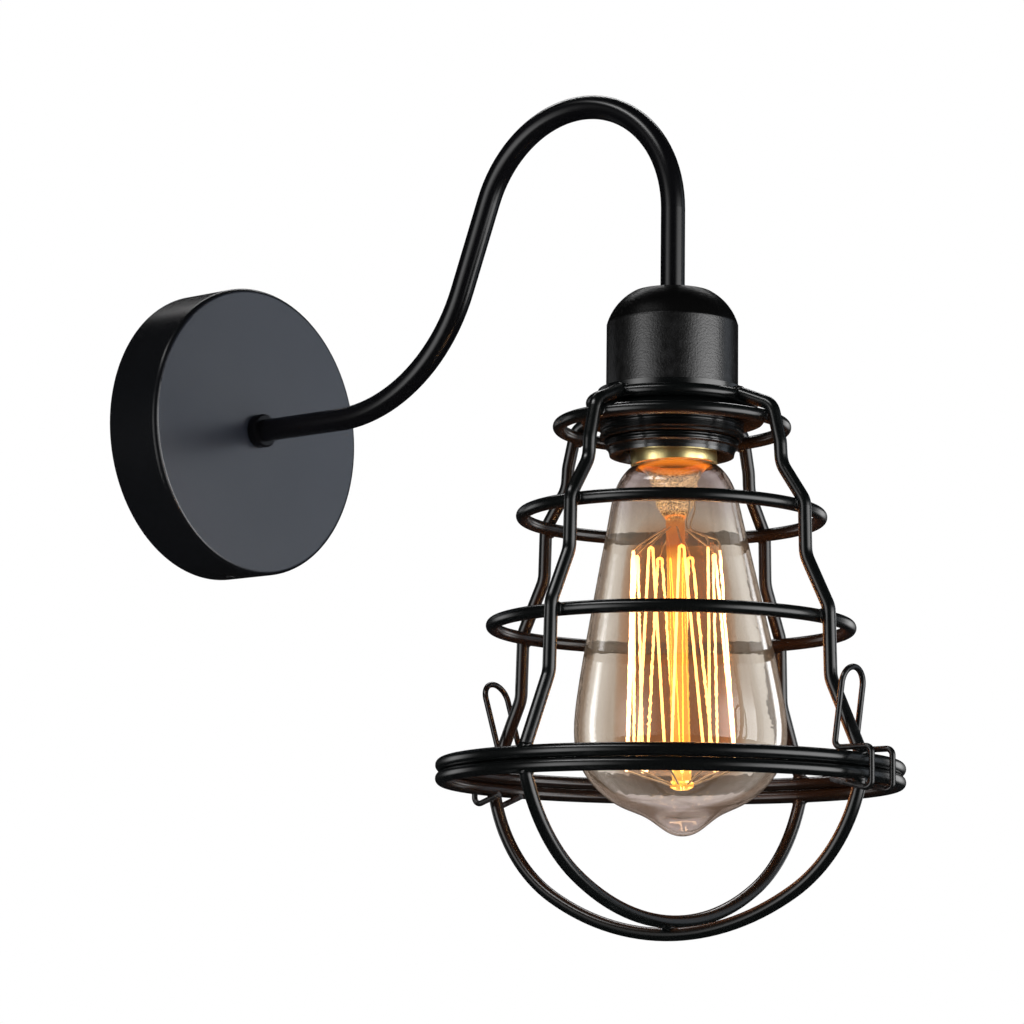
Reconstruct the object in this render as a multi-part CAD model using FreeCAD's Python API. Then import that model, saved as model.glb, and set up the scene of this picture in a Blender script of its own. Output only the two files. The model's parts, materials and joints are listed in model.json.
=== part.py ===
"""Cage wall light.

A round wall plate carries a swan-neck tube. A lampholder hangs from the end of the tube with its
mouth down, and a welded wire cage stands round the bulb. The cage is closed below by a bowl-shaped
wire guard that hinges at the wall side and is held shut by two spring-wire clips.

Millimetres. The origin is the centre of the wall plate's back, on the wall. +Z is up, the wall is
the plane Y = 0 and the room is on the -Y side. The lamp's own axis is upright, at Y = -arm_reach.
"""
import FreeCAD, Part
import math
import os

os.makedirs("parts", exist_ok=True)
Vector = FreeCAD.Vector
UP = Vector(0, 0, 1)
ROOM = Vector(0, -1, 0)

# ---- driving dimensions ----------------------------------------------------------------------

# wall plate and what it covers
plate_radius = 49.0
plate_depth = 21.5
plate_sheet = 1.2
plate_edge_round = 1.6
set_screw_depth = 10.0          # distance of the two set screws from the wall
bracket_width = 22.0
bracket_sheet = 1.5
ear_width = 12.0
ear_depth = 14.5
ear_outer = 47.0                # height of the bracket's ears above and below the centre
wall_slot_spacing = 60.0
wall_slot_length = 12.0
wall_slot_width = 4.6
supply_hole_radius = 5.5
block_top = -9.5                # the terminal block hangs below this height
block_height = 12.0
terminal_pitch = 8.5
terminal_depth = 8.0            # distance of the clamped wires from the wall
earth_screw_height = 17.0
earth_tag_sheet = 1.0
screw_radius = 1.95
tapped_radius = 2.0
screw_clearance_radius = 2.2
clamp_screw_drops = (3.0, 9.0)  # how far each way's two screws lie below the block's top
lead_tunnel_radius = 2.3        # through the block, round each sleeve
sleeve_radius = 2.25
sleeve_bore_radius = 1.55

# arm
tube_radius = 3.75
tube_bore_radius = 2.75
arm_reach = 196.5               # wall to the lamp's axis
arm_top = 89.7                  # height of the neck's top, on the tube's centre line
arm_straight = 58.0             # length that leaves the wall level
first_bend_radius = 57.0
neck_radius = 38.5
tube_wall_end = 12.5            # the tube's end inside the plate, from the wall
tube_lamp_end = 15.5            # height of the tube's end inside the cup
arm_collar_radius = 5.7
arm_collar_length = 3.4
washer_radius = 7.6
washer_sheet = 1.0
nut_across_flats = 13.0
lead_radius = 1.0
lead_spread = 1.3               # each lead lies this far from the tube's centre line

# lampholder
cup_radius = 20.2
cup_flat_radius = 12.2
cup_top = 24.5
cup_skirt_top = 14.3            # where the rounded shoulder meets the straight skirt
cup_bottom = -6.1
cup_sheet = 1.2
flange_radius = 22.6
flange_bottom = -8.6
holder_thread_crest = 20.3
holder_thread_root = 19.6
holder_thread_pitch = 1.6
holder_bottom = -26.5
holder_bore = 15.9
core_bottom = -3.5              # underside of the insulating core
core_top = 3.0
shade_ring_radius = 22.0
shade_ring_neck = 21.4          # where it stands inside the collar's neck
shade_ring_bottom = -21.7
grip_top = -16.4                # the ring nut's three grip ridges lie below this height
grip_pitch = 1.5
grip_depth = 0.5
shell_gap = 0.75                # room for the bulb's cap to lean in the screw shell

# cage
wire = 2.0                      # radius of all the cage's wire
weld_sink = 0.25                # how far welded wires sink into each other
collar_sheet = 0.9
collar_neck_radius = 22.4
collar_rim_radius = 28.3
top_ring = (24.35, -10.1)       # radius and height of each ring's centre line
upper_ring = (34.4, -17.5)
middle_ring = (45.3, -45.3)
lower_ring = (54.0, -79.1)
rim_ring = (68.6, -121.63)
guard_gap = 0.02                # between the closed guard's ring and the rim ring
guard_ring_height = rim_ring[1] - 2 * wire - guard_gap
guard_bottom = -171.2           # centre line of the lower bow at its lowest
bow_floor_radius = 90.0
bow_floor_angle = 30.0

# spring clips, measured from the guard ring's centre line: out from the lamp, and up
clip_wire = 0.9
clip_half_width = 5.4
clip_over = 7.1
clip_under = -5.2
clip_tail = (-6.5, -1.8)        # the hook's end, inside the guard ring
clip_bend = 2.0
front_clip_base = -5.5
front_clip_reach = 7.3
front_clip_lean = 3.3           # how far the loop's top stands out from its foot
front_clip_top = 30.8
rear_clip_base = -7.4
rear_clip_reach = 3.5
rear_clip_lean = 8.5
rear_clip_top = 33.3

# bulb
bulb_lean = 1.7                 # degrees that the screwed-in bulb leans, about its end contact
bulb_lean_azimuth = 39.65       # the side that its tip leans to
bulb_seat_gap = 0.07            # below the centre contact, so that the leaning end only just touches
cap_bottom = -28.8
cap_thread_bottom = -24.0
cap_thread_top = -9.5
cap_crest = 13.2
cap_root = 12.5
cap_pitch = 3.62
cap_contact_top = -4.6
glass_wall = 0.8
neck_outer = 12.3
neck_height = 6.0               # how far the glass stands up inside the cap
strand_count = 16
strand_radius = 0.34
support_radius = 0.28
basket_top = (13.4, -56.0)      # radius and height of the filament's upper turns
basket_bottom = (16.6, -121.5)
turn_half_angle = 2.9           # half the angle between the two strands of one turn, round the lamp
stem_flare_radius = 11.72       # its sealed edge, inside the glass neck
stem_tube_radius = 5.9
stem_rod_radius = 2.9
stem_button_radius = 3.6
stem_press_top = -42.0
stem_press_bottom = -46.0
stem_foot = -126.5
upper_hooks_foot = -48.5        # where the upper hooks leave the stem
bulb_tip = -141.9


# ---- building helpers ------------------------------------------------------------------------

def on_lamp(radius, height, azimuth=90.0):
    """A point round the lamp's axis. Azimuth 0 faces the room and 180 faces the wall."""
    turn = math.radians(azimuth)
    return Vector(radius * math.sin(turn), -arm_reach - radius * math.cos(turn), height)


def outline(place, start, steps):
    """A closed wire. A step is a point for a straight side, or two points for an arc."""
    edges = []
    here = place(*start)
    for step in list(steps) + [start]:
        if isinstance(step[0], tuple):
            middle, end = place(*step[0]), place(*step[1])
            edges.append(Part.Arc(here, middle, end).toShape())
        else:
            end = place(*step)
            if end.distanceToPoint(here) > 1e-6:
                edges.append(Part.LineSegment(here, end).toShape())
        here = end
    return Part.Wire(edges)


def turned_on_lamp(start, *steps):
    """A solid turned round the lamp's axis from (radius, height) points."""
    face = Part.Face(outline(on_lamp, start, steps))
    return face.revolve(Vector(0, -arm_reach, 0), UP, 360)


def turned_on_wall(start, *steps):
    """A solid turned round the wall plate's axis from (radius, distance from the wall) points."""
    face = Part.Face(outline(lambda radius, depth: Vector(radius, -depth, 0), start, steps))
    return face.revolve(Vector(0, 0, 0), ROOM, 360)


def ring(radius, height, section=wire):
    """A closed wire ring round the lamp's axis."""
    return Part.makeTorus(radius, section, Vector(0, -arm_reach, height), UP)


def rod(radius, start, end):
    """A round bar from one point to another."""
    return Part.makeCylinder(radius, start.distanceToPoint(end), start, end - start)


def block(low, high):
    """A box between two corners."""
    size = high - low
    return Part.makeBox(size.x, size.y, size.z, low)


def hexagon(across_flats, thickness, base, direction, hole_radius):
    """A plain nut."""
    corner = across_flats / math.sqrt(3)
    points = [Vector(corner * math.cos(math.radians(60 * k)), corner * math.sin(math.radians(60 * k)), 0)
              for k in range(7)]
    nut = Part.Face(Part.makePolygon(points)).extrude(Vector(0, 0, thickness))
    nut = nut.cut(Part.makeCylinder(hole_radius, thickness))
    nut.Placement = FreeCAD.Placement(base, FreeCAD.Rotation(UP, direction))
    return nut


def corner_arc(before, corner, after, radius):
    """The arc that rounds one corner of a route: its first, middle and last points."""
    back = (before - corner).normalize()
    forward = (after - corner).normalize()
    half_opening = back.getAngle(forward) / 2
    inward = (back + forward).normalize()
    setback = radius / math.tan(half_opening)
    middle = corner + inward * (radius / math.sin(half_opening) - radius)
    return corner + back * setback, middle, corner + forward * setback


def rounded_edges(points, radii):
    """Straight runs joined by tangent arcs. radii has one radius for each inner point."""
    edges = []
    here = points[0]
    for before, corner, after, radius in zip(points, points[1:], points[2:], radii):
        first, middle, last = corner_arc(before, corner, after, radius)
        if first.distanceToPoint(here) > 1e-6:
            edges.append(Part.LineSegment(here, first).toShape())
        edges.append(Part.Arc(first, middle, last).toShape())
        here = last
    if points[-1].distanceToPoint(here) > 1e-6:
        edges.append(Part.LineSegment(here, points[-1]).toShape())
    return edges


def walked_edges(place, start, heading, steps):
    """A flat route from a start and a heading in degrees: ("run", length) or ("turn", radius, angle).

    A positive angle turns from the first axis of place towards the second one."""
    edges = []
    u, v = start
    turn = math.radians(heading)
    for step in steps:
        here = place(u, v)
        if step[0] == "run":
            u += step[1] * math.cos(turn)
            v += step[1] * math.sin(turn)
            edges.append(Part.LineSegment(here, place(u, v)).toShape())
            continue
        angle = math.radians(step[2])
        side = math.copysign(step[1], angle)
        centre_u = u - side * math.sin(turn)
        centre_v = v + side * math.cos(turn)
        stops = []
        for share in (0.5, 1.0):
            now = turn + share * angle
            stops.append((centre_u + side * math.sin(now), centre_v - side * math.cos(now)))
        edges.append(Part.Arc(here, place(*stops[0]), place(*stops[1])).toShape())
        u, v = stops[1]
        turn += angle
    return edges


def tube(edges, radius, bore_radius=0.0):
    """A round wire, or a pipe where it has a bore, along a route of edges."""
    route = Part.Wire(edges)
    first = route.Edges[0]
    centre = first.valueAt(first.FirstParameter)
    along = first.tangentAt(first.FirstParameter)
    section = Part.Wire(Part.makeCircle(radius, centre, along))
    solid = route.makePipe(Part.Face(section))
    if bore_radius:
        bore = Part.Wire(Part.makeCircle(bore_radius, centre, along))
        solid = solid.cut(route.makePipe(Part.Face(bore)))
    return solid


def ridges(root, crest, start, end, pitch):
    """Outline points of a thread's ridges, from the height start to the height end."""
    count = int(abs(end - start) / pitch)
    step = math.copysign(pitch, end - start)
    points = []
    for k in range(count):
        points += [(root, start + (k + 0.15) * step), (crest, start + (k + 0.45) * step),
                   (crest, start + (k + 0.60) * step), (root, start + (k + 0.90) * step)]
    return points


# ---- wall plate ------------------------------------------------------------------------------

def wall_canopy():
    """The pressed round plate: a shallow drum, open at the wall."""
    inner = plate_radius - plate_sheet
    floor = plate_depth - plate_sheet
    soft = plate_edge_round
    corner = soft * (1 - math.sqrt(0.5))
    hole = tube_radius + 0.05
    drum = turned_on_wall(
        (hole, plate_depth), (plate_radius - soft, plate_depth),
        ((plate_radius - corner, plate_depth - corner), (plate_radius, plate_depth - soft)),
        (plate_radius, 0), (inner, 0), (inner, floor - 0.4), (inner - 0.4, floor), (hole, floor))
    for side in (1, -1):
        middle = Vector(0, -set_screw_depth, side * plate_radius)
        drum = drum.cut(rod(screw_clearance_radius, middle - UP * side * 4, middle + UP * side * 2))
    return drum


def mounting_bracket():
    """The strip screwed to the wall. Its two ears hold the plate's set screws."""
    half = bracket_width / 2
    strip = block(Vector(-half, -bracket_sheet, -ear_outer + 3), Vector(half, 0, ear_outer - 3))
    strip = strip.fuse(block(Vector(-ear_width / 2, -bracket_sheet, -ear_outer),
                             Vector(ear_width / 2, 0, ear_outer)))
    for side in (1, -1):
        low, high = sorted((side * ear_outer, side * (ear_outer - bracket_sheet)))
        strip = strip.fuse(block(Vector(-ear_width / 2, -ear_depth, low), Vector(ear_width / 2, 0, high)))
        tapped = Vector(0, -set_screw_depth, side * ear_outer)
        strip = strip.cut(rod(tapped_radius, tapped - UP * side * 4, tapped + UP * side))
        slot_run = (wall_slot_length - wall_slot_width) / 2
        middle = side * wall_slot_spacing / 2
        ends = [Vector(0, 0, middle + offset) for offset in (-slot_run, slot_run)]
        strip = strip.cut(block(Vector(-wall_slot_width / 2, -bracket_sheet, ends[0].z),
                                Vector(wall_slot_width / 2, 0, ends[1].z)))
        for end in ends:
            strip = strip.cut(rod(wall_slot_width / 2, end, end + ROOM * bracket_sheet))
    strip = strip.cut(rod(supply_hole_radius, Vector(0, 0, 0), ROOM * bracket_sheet))
    tapped = Vector(0, 0, earth_screw_height)
    strip = strip.cut(rod(tapped_radius, tapped, tapped + ROOM * bracket_sheet))
    return strip.removeSplitter()


def canopy_set_screws():
    """Two headless screws, one above and one below, each with a driving slot."""
    screws = []
    for side in (1, -1):
        outer = Vector(0, -set_screw_depth, side * (plate_radius - 0.3))
        screw = rod(screw_radius, outer, outer - UP * side * 5.5)
        slot = block(outer + Vector(-2.5, -0.35, -0.9), outer + Vector(2.5, 0.35, 0.9))
        screws.append(screw.cut(slot))
    return Part.makeCompound(screws)


def earth_screw():
    """The screw that clamps the earth lead to the bracket."""
    foot = Vector(0, 0, earth_screw_height)
    under_head = foot + ROOM * (bracket_sheet + earth_tag_sheet)
    screw = rod(screw_radius, foot, under_head).fuse(rod(3.6, under_head, under_head + ROOM * 2.2))
    slot = block(under_head + Vector(-4, -2.3, -0.4), under_head + Vector(4, -1.2, 0.4))
    return screw.cut(slot).removeSplitter()


def earth_tag():
    """The ring tag at the end of the earth lead, under the earth screw."""
    back = Vector(0, -bracket_sheet, earth_screw_height)
    front = back + ROOM * earth_tag_sheet
    tag = rod(4.2, back, front).fuse(block(back + Vector(3, -earth_tag_sheet, -1.6), back + Vector(9, 0, 1.6)))
    return tag.cut(rod(2.05, back, front)).removeSplitter()


def terminal_places():
    """The terminals' middles on the block's top face: live, neutral and earth."""
    return [Vector(offset * terminal_pitch, -terminal_depth, block_top) for offset in (-1, 0, 1)]


def terminal_block():
    """The insulating three-way block, with a tunnel for each way and its screws' wells."""
    foot = block_top - block_height
    body = block(Vector(-13, -5.5, foot), Vector(13, -bracket_sheet, block_top))
    for place in terminal_places():
        body = body.fuse(rod(3.7, place, place - UP * block_height))
        body = body.fuse(block(place + Vector(-2.7, -4.6, -block_height), place + Vector(2.7, 0, 0)))
    for place in terminal_places():
        body = body.cut(rod(lead_tunnel_radius, place, place - UP * block_height))
        for drop in clamp_screw_drops:
            well = place - UP * drop
            body = body.cut(rod(1.7, well, well + ROOM * 5))
    return body.removeSplitter()


def terminal_sleeves():
    """The three brass tubes that the wires are clamped in."""
    sleeves = []
    for place in terminal_places():
        sleeve = rod(sleeve_radius, place - UP * 0.5, place - UP * (block_height - 0.5))
        sleeve = sleeve.cut(rod(sleeve_bore_radius, place, place - UP * block_height))
        for drop in clamp_screw_drops:
            well = place - UP * drop
            sleeve = sleeve.cut(rod(1.4, well, well + ROOM * 4))
        sleeves.append(sleeve)
    return Part.makeCompound(sleeves)


def terminal_screws():
    """Two clamping screws for each of the three ways."""
    screws = []
    for place in terminal_places():
        for drop in clamp_screw_drops:
            tip = place - UP * drop + ROOM * 1.1
            screw = rod(1.3, tip, tip + ROOM * 3.2)
            slot = block(tip + Vector(-1.5, -3.3, -0.25), tip + Vector(1.5, -2.6, 0.25))
            screws.append(screw.cut(slot))
    return Part.makeCompound(screws)


# ---- arm -------------------------------------------------------------------------------------

def arm_edges(sideways=0.0, wall_end=tube_wall_end, lamp_end=tube_lamp_end):
    """The arm's centre line: level, up through a wide bend, over the neck and down to the lamp."""
    both = first_bend_radius + neck_radius
    across = arm_reach - arm_straight - neck_radius
    rise = arm_top - both
    slant_run = math.sqrt(across ** 2 + rise ** 2 - both ** 2)
    slant = math.degrees(math.atan2(across * both + rise * slant_run, across * slant_run - rise * both))
    drop = arm_top - neck_radius - lamp_end
    return walked_edges(
        lambda out, height: Vector(sideways, -out, height), (wall_end, 0), 0,
        [("run", arm_straight - wall_end), ("turn", first_bend_radius, slant), ("run", slant_run),
         ("turn", neck_radius, -90 - slant), ("run", drop)])


def arm_tube():
    """The bent steel tube."""
    return tube(arm_edges(), tube_radius, tube_bore_radius)


def arm_collar():
    """The stop ring pressed on the tube in front of the plate."""
    hole = tube_radius + 0.02
    edge = arm_collar_radius
    front = plate_depth + arm_collar_length
    return turned_on_wall((hole, plate_depth), (edge, plate_depth), (edge, front - 0.6), (edge - 0.6, front),
                          (hole, front))


def arm_lock_washer():
    """The washer behind the plate's face."""
    inside = plate_depth - plate_sheet
    hole = tube_radius + 0.15
    behind = inside - washer_sheet
    return turned_on_wall((hole, inside), (washer_radius, inside), (washer_radius, behind), (hole, behind))


def arm_lock_nut():
    """The nut that pulls the arm tight to the plate."""
    face = Vector(0, -(plate_depth - plate_sheet - washer_sheet), 0)
    return hexagon(nut_across_flats, 4.5, face, -ROOM, tube_radius + 0.02)


def lead(side, terminal, clamp):
    """An insulated lead from the terminal block, through the arm, to the lampholder."""
    spread = side * lead_spread
    mouth = Vector(spread, -tube_wall_end, 0)
    start = [terminal - UP * 4, terminal + UP * 4.2, Vector(spread, -terminal_depth, 0), mouth]
    end = Vector(spread, -arm_reach, tube_lamp_end)
    finish = [end, end - UP * 3.4, clamp + UP * 3.4, clamp - UP * 0.5]
    edges = rounded_edges(start, [2.0, 2.0]) + arm_edges(spread) + rounded_edges(finish, [2.2, 2.2])
    return tube(edges, lead_radius)


def live_lead():
    return lead(-1, terminal_places()[0], clamp_places()[0])


def neutral_lead():
    return lead(1, terminal_places()[1], clamp_places()[1])


def earth_lead():
    """The short lead from the block's third way to the bracket's earth screw."""
    way = terminal_places()[2]
    tag = Vector(9.2, -bracket_sheet - earth_tag_sheet - lead_radius, earth_screw_height)
    points = [way - UP * 4, way + UP * 10, tag + Vector(5.5, 0, 0), tag - Vector(2.5, 0, 0)]
    return tube(rounded_edges(points, [4.5, 4.0]), lead_radius)


# ---- lampholder ------------------------------------------------------------------------------

def lampholder_cup():
    """The spun cup over the lampholder: a narrow flat top, a rounded shoulder and a straight skirt."""
    hole = tube_radius + 0.05
    inner = cup_radius - cup_sheet
    return turned_on_lamp(
        (hole, cup_top), (cup_flat_radius, cup_top), ((17.7, cup_top - 4.9), (cup_radius, cup_skirt_top)),
        (cup_radius, cup_bottom), (inner, cup_bottom), (inner, cup_skirt_top - 0.4),
        ((16.7, cup_top - 5.7), (cup_flat_radius - 0.4, cup_top - cup_sheet)), (hole, cup_top - cup_sheet))


def cup_lock_nut():
    """The nut inside the cup that holds it on the tube."""
    ceiling = Vector(0, -arm_reach, cup_top - cup_sheet)
    return hexagon(nut_across_flats, 4.0, ceiling, -UP, tube_radius + 0.02)


def lampholder_body():
    """The moulded shell: a sleeve in the cup, a flange under it and a long outside thread."""
    sleeve = 17.4
    return turned_on_lamp(
        (holder_bore, core_top + 3), (sleeve, core_top + 3), (sleeve, cup_bottom),
        (flange_radius, cup_bottom), (flange_radius, flange_bottom), (holder_thread_root, flange_bottom),
        *ridges(holder_thread_root, holder_thread_crest, flange_bottom, holder_bottom + 1.6,
                holder_thread_pitch),
        (19.2, holder_bottom + 1.0), (19.0, holder_bottom), (17.2, holder_bottom),
        (holder_bore, holder_bottom + 2.4))


def lampholder_core():
    """The insulating core that carries the contacts."""
    return turned_on_lamp((0, core_top), (holder_bore - 0.05, core_top), (holder_bore - 0.05, core_bottom),
                          (0, core_bottom))


def screw_shell():
    """The thin threaded shell that the bulb's cap screws into."""
    sheet = 0.4
    shell_bottom = -22.0
    throat = cap_crest + shell_gap
    inside = ridges(throat, throat + cap_crest - cap_root, core_bottom - 2, shell_bottom + 1, cap_pitch)
    outside = [(radius + sheet, height) for radius, height in reversed(inside)]
    return turned_on_lamp(
        (9, core_bottom), (9, core_bottom - sheet), (throat, core_bottom - sheet), *inside,
        (throat, shell_bottom), (throat + sheet, shell_bottom), *outside, (throat + sheet, core_bottom))


def centre_contact():
    """The sprung tongue that meets the bulb's end contact."""
    top = core_bottom
    tongue = block(Vector(-2.2, -arm_reach - 6, top - 0.4), Vector(2.2, -arm_reach + 3, top))
    button = rod(2.0, Vector(0, -arm_reach, top - 0.4), Vector(0, -arm_reach, cap_contact_top))
    return tongue.fuse(button).removeSplitter()


def clamp_places():
    """The tops of the two clamps on the core: live and neutral."""
    return [Vector(side * 8.0, -arm_reach, core_top + 4) for side in (-1, 1)]


def holder_clamps():
    """The two brass blocks that hold the leads' ends."""
    blocks = []
    for place in clamp_places():
        body = block(place + Vector(-2.6, -3.2, -4), place + Vector(2.6, 3.2, 0))
        blocks.append(body.cut(rod(lead_radius + 0.05, place, place - UP * 1.5)))
    return Part.makeCompound(blocks)


def holder_clamp_screws():
    """One screw through the room side of each clamp."""
    screws = []
    for place in clamp_places():
        face = place + Vector(0, -3.2, -2)
        head = rod(1.6, face, face + ROOM * 1.4)
        slot = block(face + Vector(-2, -1.5, -0.25), face + Vector(2, -0.8, 0.25))
        screws.append(head.cut(slot))
    return Part.makeCompound(screws)


def shade_ring():
    """The ring nut that clamps the cage's collar up to the flange, with grip ridges near its mouth."""
    top = flange_bottom - collar_sheet
    hole = holder_thread_crest + 0.05
    groove = shade_ring_radius - grip_depth
    grips = ridges(groove, shade_ring_radius, grip_top, shade_ring_bottom, grip_pitch)
    return turned_on_lamp(
        (hole, top), (shade_ring_neck, top), (shade_ring_neck, -12.8), (shade_ring_radius, -13.2),
        (shade_ring_radius, grip_top), *grips,
        (groove, shade_ring_bottom + 0.3), (groove - 0.3, shade_ring_bottom), (hole, shade_ring_bottom))


# ---- cage ------------------------------------------------------------------------------------

def cage_collar():
    """The pressed collar: a flat seat under the flange, a short neck and a flared skirt."""
    top = flange_bottom
    neck = collar_neck_radius
    sheet = collar_sheet
    return turned_on_lamp(
        (20.5, top), (neck, top), (neck, top - 2.3), (collar_rim_radius, top - 6.6),
        (collar_rim_radius - 0.5, top - 7.35), (neck - sheet, top - 2.75), (neck - sheet, top - sheet),
        (20.5, top - sheet))


def upright(azimuth):
    """One of the four wires from the top ring to the rim, stepped out between the rings."""
    weld = 2 * wire - weld_sink
    beside_upper = upper_ring[0] + weld
    beside_middle = middle_ring[0] + weld
    beside_lower = lower_ring[0] + weld
    corners = [
        (top_ring[0] + wire - weld_sink, top_ring[1] + 0.3),
        (beside_upper - 0.8, upper_ring[1] + 3.2),
        (beside_upper + 2.2, upper_ring[1] - 8.5),
        (beside_upper + 2.6, upper_ring[1] - 15.0),
        (beside_middle, middle_ring[1] + 0.8),
        (beside_middle + 0.4, middle_ring[1] - 15.3),
        (beside_lower - 0.1, lower_ring[1] + 2.3),
        (beside_lower + 0.5, lower_ring[1] - 18.5),
        (rim_ring[0], rim_ring[1] + 2 * wire - 2.1)]
    points = [on_lamp(radius, height, azimuth) for radius, height in corners]
    return tube(rounded_edges(points, [5.0, 9.0, 9.0, 6.0, 9.0, 7.0, 9.0]), wire)


# ---- guard -----------------------------------------------------------------------------------

def guard_bow(azimuth, bottom):
    """One half-hoop of the guard, welded under the guard ring at both its ends."""
    end_radius = rim_ring[0] - 0.2
    end_height = guard_ring_height - wire + weld_sink
    floor = math.radians(bow_floor_angle)
    out = end_radius - bow_floor_radius * math.sin(floor)
    up = end_height - bottom - bow_floor_radius * (1 - math.cos(floor))
    side_angle = 2 * math.degrees(math.atan2(up, out)) - bow_floor_angle
    side_radius = out / (math.sin(math.radians(side_angle)) - math.sin(floor))
    side_turn = side_angle - bow_floor_angle
    edges = walked_edges(
        lambda along, height: on_lamp(along, height, azimuth), (-end_radius, end_height), -side_angle,
        [("turn", side_radius, side_turn), ("turn", bow_floor_radius, 2 * bow_floor_angle),
         ("turn", side_radius, side_turn)])
    return tube(edges, wire)


def spring_clip(azimuth, base, reach, lean, loop_top):
    """A clip of one wire: a finger loop, a run over both rings, and hooks under the guard ring."""
    outward = on_lamp(1, 0, azimuth) - on_lamp(0, 0, azimuth)
    sideways = UP.cross(outward)
    ring_point = on_lamp(rim_ring[0], guard_ring_height, azimuth)
    half = [clip_tail, (reach, clip_under), (reach, clip_over), (base, clip_over), (base + lean, loop_top)]
    points = [ring_point + outward * out + UP * up - sideways * clip_half_width for out, up in half]
    points += [ring_point + outward * out + UP * up + sideways * clip_half_width
               for out, up in reversed(half)]
    loop_bend = clip_half_width - 0.1
    bends = [clip_bend] * 3 + [loop_bend] * 2 + [clip_bend] * 3
    return tube(rounded_edges(points, bends), clip_wire)


# ---- bulb ------------------------------------------------------------------------------------

def bulb_outline():
    """The glass outside, from the neck to the drawn tip, as (radius, height) points for a smooth curve."""
    return [(neck_outer, cap_bottom - 0.2), (15.3, -31.6), (17.9, -36.0), (20.1, -44.3), (23.6, -61.3),
            (26.8, -77.0), (30.9, -98.7), (32.1, -109.5), (30.9, -118.9), (26.3, -126.6), (17.6, -133.2),
            (11.3, -136.0), (7.7, -138.5), (4.6, -140.7), (2.3, -141.65), (0, bulb_tip)]


def bulb_glass():
    """The pear-shaped envelope with its drawn tip, open at the neck inside the cap."""
    outer = Part.BSplineCurve()
    outer.interpolate([on_lamp(*point) for point in bulb_outline()])
    inner_points = []
    steps = 40
    for k in range(steps):
        share = outer.FirstParameter + (outer.LastParameter - outer.FirstParameter) * k / steps
        tangent = outer.tangent(share)[0]
        inward = Vector(tangent.z, 0, -tangent.x).normalize()
        inner_points.append(outer.value(share) + inward * glass_wall)
    inner_points.append(on_lamp(0, bulb_tip + glass_wall))
    inner = Part.BSplineCurve()
    inner.interpolate(inner_points)
    neck_top = cap_bottom + neck_height
    corners = [inner_points[0], on_lamp(neck_outer - glass_wall, neck_top), on_lamp(neck_outer, neck_top),
               outer.StartPoint]
    edges = [Part.LineSegment(a, b).toShape() for a, b in zip(corners, corners[1:])]
    edges += [outer.toShape(), Part.LineSegment(outer.EndPoint, inner.EndPoint).toShape(), inner.toShape()]
    face = Part.Face(Part.Wire(Part.sortEdges(edges)[0]))
    return face.revolve(Vector(0, -arm_reach, 0), UP, 360)


def bulb_cap():
    """The brass screw cap with its smooth collar."""
    sheet = 0.3
    outside = ridges(cap_root, cap_crest, cap_thread_bottom, cap_thread_top, cap_pitch)
    inside = neck_outer + 0.02
    return turned_on_lamp(
        (inside, cap_bottom), (cap_crest, cap_bottom), (cap_crest, cap_thread_bottom + 0.4), *outside,
        (cap_root - 0.6, cap_thread_top + 0.8), (11.0, cap_thread_top + 1.5), (9.6, cap_thread_top + 1.5),
        (9.6, cap_thread_top + 1.5 - sheet), (inside - 1.2, cap_thread_top),
        (inside - 0.2, cap_thread_top - 1.2), (inside, cap_bottom + neck_height + 0.1))


def bulb_cap_insulator():
    """The dark glass bead between the cap and the end contact."""
    foot = cap_thread_top + 1.5
    return turned_on_lamp((0, foot - 0.3), (9.5, foot - 0.3), (9.5, foot), (5.0, cap_contact_top - 1.0),
                          (0, cap_contact_top - 1.0))


def bulb_contact():
    """The end contact."""
    low = cap_contact_top - 1.0
    return turned_on_lamp((0, low), (4.6, low), ((3.6, low + 0.75), (2.4, cap_contact_top)),
                          (0, cap_contact_top))


def bulb_stem():
    """The glass stem: a flared tube in the neck, a pressed waist, and a rod down to a small button."""
    flare_top = cap_bottom + 1.2
    tube_end = stem_press_top + 1.5
    tube = stem_tube_radius
    return turned_on_lamp(
        (0, tube_end), (tube - 1.0, tube_end), ((tube + 0.6, -33.0), (stem_flare_radius, flare_top)),
        (stem_flare_radius, flare_top - 0.8), ((tube + 1.5, -33.8), (tube, tube_end)),
        (tube - 0.3, stem_press_top), (stem_rod_radius, stem_press_bottom),
        (stem_rod_radius, stem_foot + 1.2), (stem_button_radius, stem_foot + 0.4),
        (stem_button_radius, stem_foot - 0.8), (stem_rod_radius - 0.8, stem_foot - 1.6),
        (0, stem_foot - 1.8))


def basket_turns():
    """The filament's upper and lower turns, in the order that the thread takes them."""
    turns = []
    for k in range(strand_count + 1):
        radius, height = basket_top if k % 2 == 0 else basket_bottom
        turns.append((radius, height, 25.0 + 330.0 * k / strand_count))
    return turns


def filament():
    """The carbon thread, strung up and down round the stem as a basket."""
    points = []
    for radius, height, azimuth in basket_turns():
        points += [on_lamp(radius, height, azimuth - turn_half_angle),
                   on_lamp(radius, height, azimuth + turn_half_angle)]
    points = points[1:-1]
    return tube(rounded_edges(points, [0.5] * (len(points) - 2)), strand_radius)


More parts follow.
